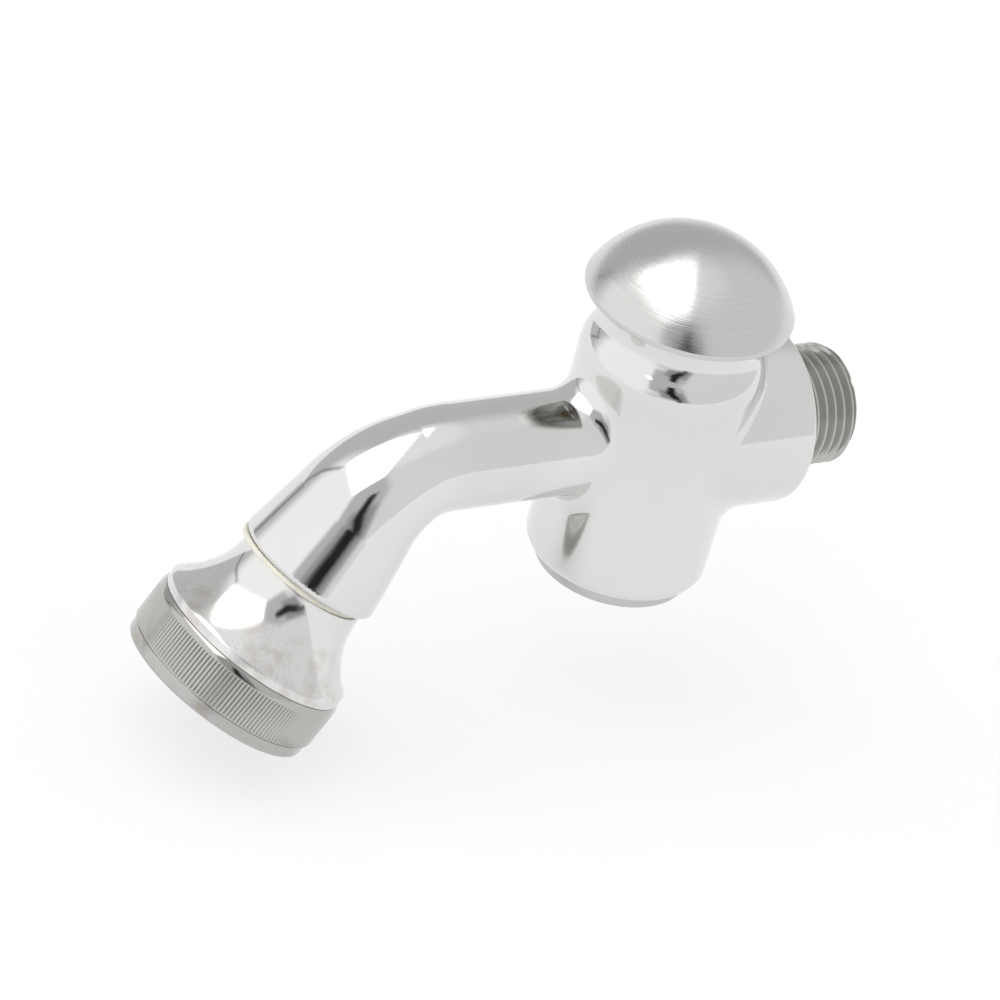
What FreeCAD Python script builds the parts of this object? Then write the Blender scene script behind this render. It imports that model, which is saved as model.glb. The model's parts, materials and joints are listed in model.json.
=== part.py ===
"""Self-closing push-button bib tap with a screwed-on spray head, in millimetres.

Origin: on the inlet axis, at the flat end of the inlet boss where the threaded inlet begins.
+Y runs out along the inlet thread towards the supply pipe, +Z is up along the button, and
the spout leaves towards -Y and bends down. The tap is symmetric about the plane X = 0,
apart from the spray head's washer, which sits a little off centre.
"""
import FreeCAD, Part
import math
import os
import Sketcher
from FreeCAD import Placement, Rotation, Vector

doc = FreeCAD.newDocument("push_button_tap")
sheet = doc.addObject("Spreadsheet::Sheet", "Sizes")

SIZES = {
    # inlet: a G 1/2 parallel pipe thread on a round boss
    "inlet_thread_radius": 10.4775,
    "inlet_thread_pitch": 1.814,
    "inlet_thread_depth": 1.162,
    "inlet_thread_length": 12.5,
    "thread_mouth": 0.84,
    "thread_root": 0.16,
    "thread_relief_width": 1.3,
    "thread_relief_extra": 0.15,
    "thread_end_chamfer": 0.9,
    "shoulder_recess_radius": 10.7,
    "shoulder_recess_depth": 0.3,
    "inlet_bore_radius": 7.0,
    "inlet_bore_start": 12.5,
    "boss_radius": 15.85,
    "boss_edge_round": 0.9,
    "valve_reach": 23.5,
    # body barrel, levels counted from the inlet axis
    "barrel_radius": 15.95,
    "barrel_below": 26.5,
    "barrel_above": 19.0,
    "shoulder_start": 13.5,
    "shoulder_round": 6.75,
    "shoulder_middle": 17.75,
    "shoulder_middle_radius": 14.444,
    "neck_foot": 22.0,
    "neck_radius": 12.938,
    "neck_above": 23.6,
    "neck_bore_radius": 11.0,
    "bottom_round": 2.0,
    "boss_blend": 4.0,
    "spout_blend": 5.0,
    # water chambers inside the barrel
    "lower_chamber_radius": 10.5,
    "lower_chamber_top": -9.5,
    "upper_chamber_radius": 8.5,
    "upper_chamber_floor": -5.0,
    "upper_chamber_top": 12.5,
    "bush_bore_radius": 7.5,
    "web_bore_radius": 6.5,
    "port_radius": 3.5,
    "port_start_reach": 17.0,
    "port_start_drop": 3.0,
    "port_end_reach": 8.0,
    "port_end_drop": 16.2,
    # spout
    "spout_radius": 9.12,
    "spout_drop": 0.9,
    "spout_run": 51.0,
    "bend_angle": 60.9,
    "bend_radius": 18.0,
    "loft_lead": 10.0,
    "spout_leg": 23.25,
    "taper_start": 5.5,
    "spout_end_radius": 13.05,
    "spout_end_round": 1.2,
    "spout_bore_radius": 6.0,
    "head_socket_radius": 8.4,
    "head_socket_depth": 9.5,
    # bottom plug
    "plug_thread_radius": 11.45,
    "plug_thread_fit": 0.05,
    "plug_thread_length": 6.5,
    "plug_flange_radius": 13.75,
    "plug_flange_height": 2.4,
    "plug_cup_radius": 8.6,
    "plug_floor": 1.5,
    "plug_edge_round": 0.5,
    "plug_ring_outer": 12.8,
    "plug_ring_height": 1.2,
    # seat, seat washer and its holder
    "seat_flange_radius": 8.0,
    "seat_flange_height": 1.5,
    "seat_bore_radius": 4.2,
    "seat_lip_radius": 5.4,
    "seat_lip_height": 1.0,
    "seat_fit": 0.05,
    "seat_washer_radius": 7.0,
    "seat_washer_height": 2.5,
    "holder_radius": 7.8,
    "holder_cup_radius": 7.05,
    "holder_cup_depth": 1.6,
    "holder_base": 3.0,
    "disc_nut_flats": 7.0,
    "disc_nut_height": 2.6,
    # stem and its guide
    "stem_radius": 3.0,
    "stem_neck_radius": 2.2,
    "stem_tail_radius": 2.0,
    "stem_head_radius": 2.5,
    "stem_running_fit": 0.05,
    "thread_fit": 0.05,
    "stem_tail_below": 19.2,
    "stem_tail_above": -10.5,
    "stem_neck_above": 6.0,
    "stem_shaft_above": 27.0,
    "stem_head_above": 35.0,
    "bush_flats": 16.0,
    "bush_head_height": 2.5,
    "bush_washer_height": 1.0,
    "bush_washer_outer": 9.5,
    "o_ring_groove_radius": 4.5,
    "o_ring_groove_width": 1.9,
    "o_ring_lower": 13.8,
    "o_ring_upper": 17.2,
    "o_ring_wire_radius": 0.72,
    "o_ring_middle_radius": 3.75,
    # return spring
    "spring_middle_radius": 5.6,
    "spring_wire_radius": 0.6,
    "spring_turns": 5.0,
    "spring_gap": 0.1,
    # mushroom button
    "button_rim_above": 25.8,
    "button_radius": 18.0,
    "button_band": 0.9,
    "button_rise": 12.45,
    "button_inner_radius": 16.5,
    "button_inner_step": 0.6,
    "button_hub_radius": 5.5,
    "button_hub_above": 30.3,
    "button_wall": 2.4,
    "button_socket_top": 35.3,
    "lock_nut_flats": 8.0,
    "lock_nut_height": 2.2,
    # spray head, distances counted along the outlet axis from the spout's end
    "head_washer_outer": 12.05,
    "head_washer_inner": 9.4,
    "head_washer_height": 0.9,
    "head_washer_aside": 0.66,
    "head_washer_raised": 0.65,
    "head_stub_radius": 8.33,
    "head_stub_length": 8.0,
    "head_stub_bore": 5.5,
    "bell_top_radius": 11.65,
    "bell_flare_radius": 16.0,
    "bell_flare_end": 13.45,
    "bell_flare_end_radius": 17.55,
    "bell_shoulder_radius": 17.75,
    "bell_shoulder_start": 13.8,
    "bell_shoulder_end": 15.3,
    "bell_thread_radius": 16.2,
    "bell_thread_end": 20.8,
    "bell_inner_radius": 13.0,
    "bell_inner_start": 13.0,
    "bell_inner_step": 15.5,
    "bell_step_radius": 14.4,
    "bell_bore_end": 3.0,
    "ring_radius": 18.2,
    "ring_top_radius": 17.8,
    "ring_bevel_end": 16.3,
    "ring_bore_radius": 16.25,
    "ring_lip_start": 23.0,
    "ring_lip_radius": 14.7,
    "ring_end": 25.9,
    "ring_rim_radius": 17.75,
    "ring_edge_round": 0.5,
    "knurl_start": 16.6,
    "knurl_end": 23.2,
    "knurl_depth": 0.35,
    "knurl_groove_share": 0.95,
    "ring_groove_end": 23.6,
    "ring_groove_radius": 17.6,
    "knurl_ribs": 165,
    "tool_overlap": 0.1,
    "gasket_height": 1.0,
    "gasket_inner": 14.5,
    "rose_radius": 16.15,
    "rose_edge_height": 1.2,
    "rose_face_radius": 14.4,
    "rose_crown": 25.4,
    "rose_hole_radius": 0.6,
    "rose_hole_step": 3.1,
    "rose_hole_rings": 4,
    "diffuser_radius": 14.3,
    "diffuser_height": 1.5,
    "diffuser_hole_radius": 1.4,
    "diffuser_hole_step": 5.0,
    "diffuser_hole_rings": 2,
    # inlet strainer
    "strainer_seat_radius": 8.0,
    "strainer_seat_depth": 2.6,
    "strainer_radius": 7.95,
    "strainer_height": 0.8,
    "strainer_hole_radius": 0.7,
    "strainer_hole_step": 2.1,
    "strainer_hole_rings": 3,
    "strainer_ring_inner": 7.1,
    "strainer_ring_height": 1.2,
}
for row, (name, size) in enumerate(SIZES.items(), start=1):
    sheet.set(f"A{row}", name)
    sheet.set(f"B{row}", str(size))
    sheet.setAlias(f"B{row}", name)
doc.recompute()

UP = Vector(0, 0, 1)
ORIGIN, X_AXIS_NUMBER, Y_AXIS_NUMBER = -1, -1, -2
CENTRED = "centred"
node_names = []


# ---------------------------------------------------------------- sizes and expressions
def terms(text):
    """The signed words of a sum such as 'rim + wall - gap'."""
    sign = 1
    for word in text.split():
        if word in "+-":
            sign = -1 if word == "-" else 1
        else:
            yield sign, word


def size(text):
    """The value of a sum of named sizes."""
    return sum(sign * SIZES[word] for sign, word in terms(text))


def bound(text):
    """The same sum as an expression on the sheet's cells."""
    return "".join(f" {'-' if sign < 0 else '+'} Sizes.{word}" for sign, word in terms(text)).lstrip(" +")


# ---------------------------------------------------------------- places
def on_valve(level):
    """A place on the valve axis, which is vertical."""
    return Placement(Vector(0, -size("valve_reach"), level), Rotation())


def on_inlet(distance):
    """A place on the inlet axis, with its own Z pointing out of the inlet."""
    return Placement(Vector(0, distance, 0), Rotation(Vector(1, 0, 0), -90))


def on_outlet(distance, shift=Vector()):
    """A place on the outlet axis, with its own Z pointing the way the water leaves."""
    angle = math.radians(size("bend_angle"))
    out = Vector(0, -math.cos(angle), -math.sin(angle))
    corner = Vector(0, -size("valve_reach + spout_run"), -size("spout_drop"))
    turn = Rotation(Vector(1, 0, 0), 90 + size("bend_angle"))
    return Placement(corner + out * (size("spout_leg") + distance) + shift, turn)


# ---------------------------------------------------------------- helpers that make features
def plane_of(body, role):
    """One of the body's own origin planes or axes."""
    return next(item for item in body.Origin.OriginFeatures if item.Role == role)


def new_body(label, place, is_node=True):
    body = doc.addObject("PartDesign::Body", label)
    body.Label = label
    body.Placement = place
    if is_node:
        node_names.append(label)
    return body


def new_sketch(body, name, role):
    sketch = body.newObject("Sketcher::SketchObject", f"{body.Name}_{name}")
    sketch.AttachmentSupport = (plane_of(body, role), [""])
    sketch.MapMode = "FlatFace"
    return sketch


def arc_between(start, end, radius, side):
    """The shorter arc from start to end. side is 1 when it bulges to the right of the way.
    A radius of None gives the arc whose centre lies on the turning axis, as on a sphere."""
    middle = (start + end) * 0.5
    way = end - start
    across = Vector(way.y, -way.x, 0).normalize() * side
    half = way.Length / 2
    if radius is None:
        centre = Vector(0, middle.y + middle.x * way.x / way.y, 0)
        radius = (start - centre).Length
    else:
        centre = middle - across * math.sqrt(radius * radius - half * half)
    return Part.Arc(start, centre + across * radius, end)


def draw_outline(sketch, outline):
    """A closed outline. Each point is (radius, height) in named sizes, and a point may add
    (arc radius, side), which makes the stretch to the next point an arc. The arc radius may
    be CENTRED, for a stretch of a sphere about the turning axis."""
    corners = [Vector(size(p[0]), size(p[1]), 0) for p in outline]
    count = len(outline)
    for i, point in enumerate(outline):
        start, end = corners[i], corners[(i + 1) % count]
        if len(point) > 2:
            radius = None if point[2] == CENTRED else size(point[2])
            sketch.addGeometry(arc_between(start, end, radius, point[3]), False)
        else:
            sketch.addGeometry(Part.LineSegment(start, end), False)
    arc_ends = []
    for i, point in enumerate(outline):
        # an arc runs anticlockwise, so its first point may be the outline's next corner
        first = sketch.getPoint(i, 1)
        forward = (first - corners[i]).Length < 1e-6
        arc_ends.append((1, 2) if forward else (2, 1))
    for i in range(count):
        following = (i + 1) % count
        sketch.addConstraint(
            Sketcher.Constraint("Coincident", i, arc_ends[i][1], following, arc_ends[following][0])
        )
    for i, point in enumerate(outline):
        for kind, axis, text in (("X", Y_AXIS_NUMBER, point[0]), ("Y", X_AXIS_NUMBER, point[1])):
            if not text:
                sketch.addConstraint(Sketcher.Constraint("PointOnObject", i, arc_ends[i][0], axis))
                continue
            number = sketch.addConstraint(
                Sketcher.Constraint(f"Distance{kind}", ORIGIN, 1, i, arc_ends[i][0], size(text))
            )
            sketch.setExpression(f"Constraints[{number}]", bound(text))
        if len(point) > 2 and point[2] == CENTRED:
            sketch.addConstraint(Sketcher.Constraint("PointOnObject", i, 3, Y_AXIS_NUMBER))
        elif len(point) > 2:
            number = sketch.addConstraint(Sketcher.Constraint("Radius", i, size(point[2])))
            sketch.setExpression(f"Constraints[{number}]", bound(point[2]))


def turned(label, outline, place, is_node=True):
    """A body of revolution about its own Z axis."""
    body = new_body(label, place, is_node)
    sketch = new_sketch(body, "outline", "XZ_Plane")
    draw_outline(sketch, outline)
    turn = body.newObject("PartDesign::Revolution", f"{label}_turn")
    turn.Profile = sketch
    turn.ReferenceAxis = (sketch, ["V_Axis"])
    turn.Angle = 360
    sketch.Visibility = False
    doc.recompute()
    return body


def round_circles(body, radius_text, circles):
    """Rounds the circular edges that lie at these (radius, height) places of a turned body."""
    base = body.Tip
    wanted = []
    for number, edge in enumerate(base.Shape.Edges, start=1):
        if not isinstance(edge.Curve, Part.Circle):
            continue
        centre = edge.Curve.Center
        for radius, height in circles:
            if abs(edge.Curve.Radius - size(radius)) < 1e-4 and abs(centre.z - size(height)) < 1e-4:
                wanted.append(f"Edge{number}")
    fillet = body.newObject("PartDesign::Fillet", f"{body.Name}_round")
    fillet.Base = (base, wanted)
    fillet.setExpression("Radius", bound(radius_text))
    doc.recompute()
    return body


def holes_round(body, ring_radius, count, hole_radius, name):
    """A ring of equal holes along Z, cut through the body."""
    sketch = new_sketch(body, name, "XY_Plane")
    sketch.addGeometry(Part.Circle(Vector(ring_radius, 0, 0), UP, size(hole_radius)), False)
    number = sketch.addConstraint(Sketcher.Constraint("Radius", 0, size(hole_radius)))
    sketch.setExpression(f"Constraints[{number}]", bound(hole_radius))
    before = body.Shape.Volume
    pocket = body.newObject("PartDesign::Pocket", f"{body.Name}_{name}_cut")
    pocket.Profile = sketch
    pocket.Type = "ThroughAll"
    pocket.Midplane = True
    doc.recompute()
    if count > 1:
        pattern = body.newObject("PartDesign::PolarPattern", f"{body.Name}_{name}_ring")
        pattern.Originals = [pocket]
        pattern.Axis = (plane_of(body, "Z_Axis"), [""])
        pattern.Angle = 360
        pattern.Occurrences = count
        body.Tip = pattern
        doc.recompute()
    assert body.Shape.Volume < before - 1e-3, f"{body.Name}: {name} cut nothing"


def hole_rings(body, kind, with_centre=True):
    """Rings of holes at equal steps, six more holes in each ring than in the one inside it."""
    hole = f"{kind}_hole_radius"
    if with_centre:
        holes_round(body, 0.0, 1, hole, "hole_centre")
    for number in range(1, int(size(f"{kind}_hole_rings")) + 1):
        holes_round(body, size(f"{kind}_hole_step") * number, 6 * number, hole, f"holes_{number}")


def cylinder(name, radius, height, place):
    """A plain Part cylinder bound to the sheet."""
    item = doc.addObject("Part::Cylinder", name)
    item.setExpression("Radius", bound(radius))
    item.setExpression("Height", bound(height))
    item.Placement = place
    return item


def cut(label, base, tool):
    item = doc.addObject("Part::Cut", label)
    item.Base, item.Tool = base, tool
    return item


def joined(name, items):
    item = doc.addObject("Part::MultiFuse", name)
    item.Shapes = items
    return item


def node(item, label):
    item.Label = label
    node_names.append(label)
    doc.recompute()
    return item


def ring_of(corners):
    """A ring about the Z axis, turned from a polygon of (radius, height) corners."""
    points = [Vector(radius, 0, height) for radius, height in corners]
    return Part.Face(Part.makePolygon(points + points[:1])).revolve(Vector(), UP, 360)


def threaded_stub(name, place):
    """The inlet's threaded stub: a helical V groove leaves flat crests, between a relief at
    the boss and a chamfer at the open end. The helix is cut with Part's own functions."""
    crest, depth = size("inlet_thread_radius"), size("inlet_thread_depth")
    pitch, length = size("inlet_thread_pitch"), size("inlet_thread_length")
    relief, chamfer = size("thread_relief_width"), size("thread_end_chamfer")
    half_mouth, half_root = size("thread_mouth") * pitch / 2, size("thread_root") * pitch / 2
    proud = size("tool_overlap")
    flare = proud * (half_mouth - half_root) / depth
    corners = [
        Vector(crest + proud, 0, -half_mouth - flare),
        Vector(crest - depth, 0, -half_root),
        Vector(crest - depth, 0, half_root),
        Vector(crest + proud, 0, half_mouth + flare),
    ]
    profile = Part.makePolygon(corners + corners[:1])
    helix = Part.makeHelix(pitch, length + pitch - relief, crest)
    groove = Part.Wire(helix).makePipeShell([profile], True, True)
    groove.translate(Vector(0, 0, relief))
    neck = crest - depth - size("thread_relief_extra")
    clear = ring_of([(neck, 0), (crest + depth, 0), (crest + depth, relief), (neck, relief)])
    corner = ring_of([
        (crest - chamfer, length + depth),
        (crest - chamfer, length),
        (crest, length - chamfer),
        (crest + depth, length - chamfer),
        (crest + depth, length + depth),
    ])
    plain = Part.makeCylinder(crest, length).cut(clear)
    threaded = plain.cut(groove)
    assert threaded.Volume < 0.95 * plain.Volume, "the thread groove cut nothing"
    stub = doc.addObject("Part::Feature", name)
    stub.Shape = threaded.cut(corner)
    stub.Placement = place
    return stub


def hex_nut(label, flats, height, bore, place):
    """A plain hexagon nut."""
    prism = doc.addObject("Part::Prism", f"{label}_hexagon")
    prism.Polygon = 6
    prism.setExpression("Circumradius", f"({bound(flats)}) / 2 / cos(30)")
    prism.setExpression("Height", bound(height))
    prism.Placement = place
    return node(cut(label, prism, cylinder(f"{label}_bore", bore, height, place)), label)


# ---------------------------------------------------------------- body casting
def bend_lengths():
    """Length of the spout's bend, and of the straight from its corner to where it starts."""
    angle = math.radians(size("bend_angle"))
    return size("bend_radius") * angle, size("bend_radius") * math.tan(angle / 2)


def spout_path(distance):
    """Point and tilt of the spout's centreline, counted along it from the start of the bend."""
    angle = math.radians(size("bend_angle"))
    radius = size("bend_radius")
    bend_start = bend_lengths()[1] - size("valve_reach + spout_run")
    turned_by = min(max(distance / radius, 0), angle)
    y = bend_start - radius * math.sin(turned_by)
    z = -size("spout_drop") - radius * (1 - math.cos(turned_by))
    straight = distance if distance < 0 else max(distance - radius * angle, 0)
    y -= straight * math.cos(turned_by)
    z -= straight * math.sin(turned_by)
    return Placement(Vector(0, y, z), Rotation(Vector(1, 0, 0), 90 + math.degrees(turned_by)))


def spout_pipe(name, start_radius, end_radius):
    """The straight root of the spout's pipe, which starts on the valve axis, and its bent part,
    lofted through circles along the centreline and widening past the taper's start."""
    bend, straight = bend_lengths()
    end = bend + size("spout_leg") - straight
    lead = size("loft_lead")
    root = doc.addObject("Part::Cylinder", f"{name}_root")
    root.setExpression("Radius", bound(start_radius))
    root.Height = size("spout_run") - straight - lead
    root.Placement = Placement(Vector(0, -size("valve_reach"), -size("spout_drop")),
                               Rotation(Vector(1, 0, 0), 90))
    before = [-lead, -lead * 2 / 3, -lead / 3]
    along = [bend * step / 8 for step in range(9)]
    after = [bend + (end - bend) * step / 3 for step in (1, 2, 3)]
    circles = []
    for number, distance in enumerate(before + along + after):
        circle = doc.addObject("Part::Circle", f"{name}_circle_{number}")
        share = max(0, distance - size("taper_start")) / (end - size("taper_start"))
        widening = f"(Sizes.{end_radius} - Sizes.{start_radius}) * {share}"
        circle.setExpression("Radius", f"Sizes.{start_radius} + {widening}")
        circle.Placement = spout_path(distance)
        circles.append(circle)
    loft = doc.addObject("Part::Loft", name)
    loft.Sections = circles
    loft.Solid = True
    loft.Ruled = False
    return [root, loft]


def lies_on(edge, point, direction, radius):
    """Does the whole edge lie on the cylinder of this radius about the line?"""
    low, high = edge.FirstParameter, edge.LastParameter
    for share in (0.1, 0.3, 0.5, 0.7, 0.9):
        reach = edge.valueAt(low + (high - low) * share) - point
        across = reach - direction * reach.dot(direction)
        if abs(across.Length - radius) > 0.01:
            return False
    return True


def fillet_edges(name, base, edges, radius_text):
    fillet = doc.addObject("Part::Fillet", name)
    fillet.Base = base
    numbers = [n for n, edge in enumerate(base.Shape.Edges, start=1) if edges(edge)]
    fillet.Edges = [(n, size(radius_text), size(radius_text)) for n in numbers]
    doc.recompute()
    return fillet


def is_boss_rim(edge):
    """Is this the rim of the boss's free end?"""
    return edge.BoundBox.YLength < 1e-6 and edge.BoundBox.YMax > -1e-6


def is_spout_joint(edge):
    """Is this where the spout enters the barrel?"""
    valve, drop = Vector(0, -size("valve_reach"), 0), Vector(0, 0, -size("spout_drop"))
    on_barrel = lies_on(edge, valve, UP, size("barrel_radius"))
    return on_barrel and lies_on(edge, drop, Vector(0, 1, 0), size("spout_radius"))


def is_boss_joint(edge):
    """Is this where the boss enters the barrel, and not the boss's rounded rim?"""
    on_boss = lies_on(edge, Vector(), Vector(0, 1, 0), size("boss_radius"))
    return on_boss and edge.BoundBox.YMax < -2 * size("boss_edge_round")


def make_tap_body():
    """The one-piece cast body: barrel, inlet boss with its thread, and bent spout."""
    reach = size("valve_reach")
    barrel = turned("barrel", [
        ("", ""),
        ("barrel_radius", ""),
        ("barrel_radius", "barrel_below + shoulder_start", "shoulder_round", 1),
        ("shoulder_middle_radius", "barrel_below + shoulder_middle", "shoulder_round", -1),
        ("neck_radius", "barrel_below + neck_foot"),
        ("neck_radius", "barrel_below + neck_above"),
        ("neck_bore_radius", "barrel_below + neck_above"),
        ("neck_bore_radius", "barrel_below + barrel_above"),
        ("", "barrel_below + barrel_above"),
    ], on_valve(-size("barrel_below")), is_node=False)
    round_circles(barrel, "bottom_round", [("barrel_radius", "")])
    boss = cylinder("boss", "boss_radius", "valve_reach", on_inlet(-reach))
    doc.recompute()
    boss_rounded = fillet_edges("boss_rounded", boss, is_boss_rim, "boss_edge_round")
    recess = turned("shoulder_recess", [
        ("inlet_thread_radius - inlet_thread_depth - thread_relief_extra", ""),
        ("shoulder_recess_radius", ""),
        ("shoulder_recess_radius", "shoulder_recess_depth + shoulder_recess_depth"),
        ("inlet_thread_radius - inlet_thread_depth - thread_relief_extra",
         "shoulder_recess_depth + shoulder_recess_depth"),
    ], on_inlet(-size("shoulder_recess_depth")), is_node=False)
    boss_recessed = cut("boss_recessed", boss_rounded, recess)
    pipe = spout_pipe("spout", "spout_radius", "spout_end_radius")
    doc.recompute()
    outside = joined("body_outside", [barrel, boss_recessed] + pipe)
    outside.Refine = True
    doc.recompute()
    blended = fillet_edges("spout_blended", outside, is_spout_joint, "spout_blend")
    blended = fillet_edges("boss_blended", blended, is_boss_joint, "boss_blend")
    corner = turned("spout_end_corner", [
        ("spout_end_radius - spout_end_round", "spout_end_round", "spout_end_round", -1),
        ("spout_end_radius", ""),
        ("spout_end_radius + spout_end_round", ""),
        ("spout_end_radius + spout_end_round", "spout_end_round + spout_end_round"),
        ("spout_end_radius - spout_end_round", "spout_end_round + spout_end_round"),
    ], on_outlet(-size("spout_end_round")), is_node=False)
    blended = cut("spout_end_rounded", blended, corner)
    solid = joined("body_solid", [blended, threaded_stub("threaded_inlet", on_inlet(0))])
    doc.recompute()
    node(cut("tap_body", solid, make_waterways()), "tap_body")


def make_waterways():
    """Everything that is hollow in the body, as one tool."""
    reach = size("valve_reach")
    lower = cylinder("lower_chamber", "lower_chamber_radius", "barrel_below + lower_chamber_top",
                     on_valve(-size("barrel_below")))
    plug_bore = cylinder("plug_bore", "plug_thread_radius + plug_thread_fit", "plug_thread_length",
                         on_valve(-size("barrel_below")))
    plug_recess = cylinder("plug_recess", "plug_ring_outer", "plug_ring_height",
                           on_valve(-size("barrel_below")))
    web = cylinder("web_bore", "web_bore_radius", "upper_chamber_floor - lower_chamber_top",
                   on_valve(size("lower_chamber_top")))
    upper = cylinder("upper_chamber", "upper_chamber_radius", "upper_chamber_top - upper_chamber_floor",
                     on_valve(size("upper_chamber_floor")))
    bush = cylinder("bush_bore", "bush_bore_radius", "barrel_above - upper_chamber_top",
                    on_valve(size("upper_chamber_top")))
    inlet = cylinder("inlet_bore", "inlet_bore_radius", "inlet_thread_length + inlet_bore_start",
                     on_inlet(-size("inlet_bore_start")))
    strainer_seat = cylinder("strainer_seat", "strainer_seat_radius", "strainer_seat_depth",
                             on_inlet(size("inlet_thread_length - strainer_seat_depth")))
    start = Vector(0, size("port_start_reach") - reach, -size("port_start_drop"))
    end = Vector(0, size("port_end_reach") - reach, -size("port_end_drop"))
    port = doc.addObject("Part::Cylinder", "inlet_port")
    port.setExpression("Radius", bound("port_radius"))
    port.Height = (end - start).Length
    port.Placement = Placement(start, Rotation(UP, end - start))
    spout_bore = spout_pipe("spout_bore", "spout_bore_radius", "spout_bore_radius")
    socket = cylinder("head_socket", "head_socket_radius", "head_socket_depth",
                      on_outlet(-size("head_socket_depth")))
    doc.recompute()
    return joined("waterways", [lower, plug_bore, plug_recess, web, upper, bush, inlet, strainer_seat,
                                port, socket] + spout_bore)


# ---------------------------------------------------------------- bottom plug, seat and valve
def make_bottom_pieces():
    below = -size("barrel_below")
    plug = turned("bottom_plug", [
        ("", ""),
        ("plug_flange_radius", ""),
        ("plug_flange_radius", "plug_flange_height"),
        ("plug_thread_radius", "plug_flange_height"),
        ("plug_thread_radius", "plug_flange_height + plug_thread_length"),
        ("plug_cup_radius", "plug_flange_height + plug_thread_length"),
        ("plug_cup_radius", "plug_floor"),
        ("", "plug_floor"),
    ], on_valve(below - size("plug_flange_height")))
    round_circles(plug, "plug_edge_round", [("plug_flange_radius", "")])
    turned("plug_seal_ring", [
        ("plug_thread_radius + plug_thread_fit", ""),
        ("plug_ring_outer - plug_thread_fit", ""),
        ("plug_ring_outer - plug_thread_fit", "plug_ring_height"),
        ("plug_thread_radius + plug_thread_fit", "plug_ring_height"),
    ], on_valve(below))


def make_valve_pieces():
    floor = size("upper_chamber_floor")
    web_height = "upper_chamber_floor - lower_chamber_top"
    turned("valve_seat", [
        ("seat_bore_radius", ""),
        ("seat_lip_radius", ""),
        ("seat_lip_radius", "seat_lip_height"),
        ("web_bore_radius - seat_fit", "seat_lip_height"),
        ("web_bore_radius - seat_fit", f"seat_lip_height + {web_height}"),
        ("seat_flange_radius", f"seat_lip_height + {web_height}"),
        ("seat_flange_radius", f"seat_lip_height + {web_height} + seat_flange_height"),
        ("seat_bore_radius", f"seat_lip_height + {web_height} + seat_flange_height"),
    ], on_valve(size("lower_chamber_top - seat_lip_height")))
    washer_top = size("lower_chamber_top - seat_lip_height")
    washer_bottom = washer_top - size("seat_washer_height")
    turned("seat_washer", [
        ("stem_tail_radius + thread_fit", ""),
        ("seat_washer_radius", ""),
        ("seat_washer_radius", "seat_washer_height"),
        ("stem_tail_radius + thread_fit", "seat_washer_height"),
    ], on_valve(washer_bottom))
    holder_bottom = washer_bottom - size("holder_base")
    turned("washer_holder", [
        ("stem_tail_radius + thread_fit", ""),
        ("holder_radius", ""),
        ("holder_radius", "holder_base + holder_cup_depth"),
        ("holder_cup_radius", "holder_base + holder_cup_depth"),
        ("holder_cup_radius", "holder_base"),
        ("stem_tail_radius + thread_fit", "holder_base"),
    ], on_valve(holder_bottom))
    hex_nut("holder_nut", "disc_nut_flats", "disc_nut_height", "stem_tail_radius + thread_fit",
            on_valve(holder_bottom - size("disc_nut_height")))
    make_spring(holder_bottom)


def make_spring(top):
    """The compression spring between the plug's floor and the washer holder."""
    bottom = -size("barrel_below + plug_flange_height - plug_floor")
    wire, gap = size("spring_wire_radius"), size("spring_gap")
    first = bottom + wire + gap
    rise = top - wire - gap - first
    helix = doc.addObject("Part::Helix", "spring_helix")
    helix.setExpression("Radius", bound("spring_middle_radius"))
    helix.Height = rise
    helix.Pitch = rise / size("spring_turns")
    profile = doc.addObject("Part::Circle", "spring_wire")
    profile.setExpression("Radius", bound("spring_wire_radius"))
    profile.Placement = Placement(Vector(size("spring_middle_radius"), 0, 0), Rotation(Vector(1, 0, 0), 90))
    doc.recompute()
    coil = doc.addObject("Part::Sweep", "return_spring")
    coil.Sections = [profile]
    coil.Spine = (helix, ["Edge1"])
    coil.Solid = True
    coil.Frenet = True
    coil.Placement = on_valve(first)
    node(coil, "return_spring")


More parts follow.
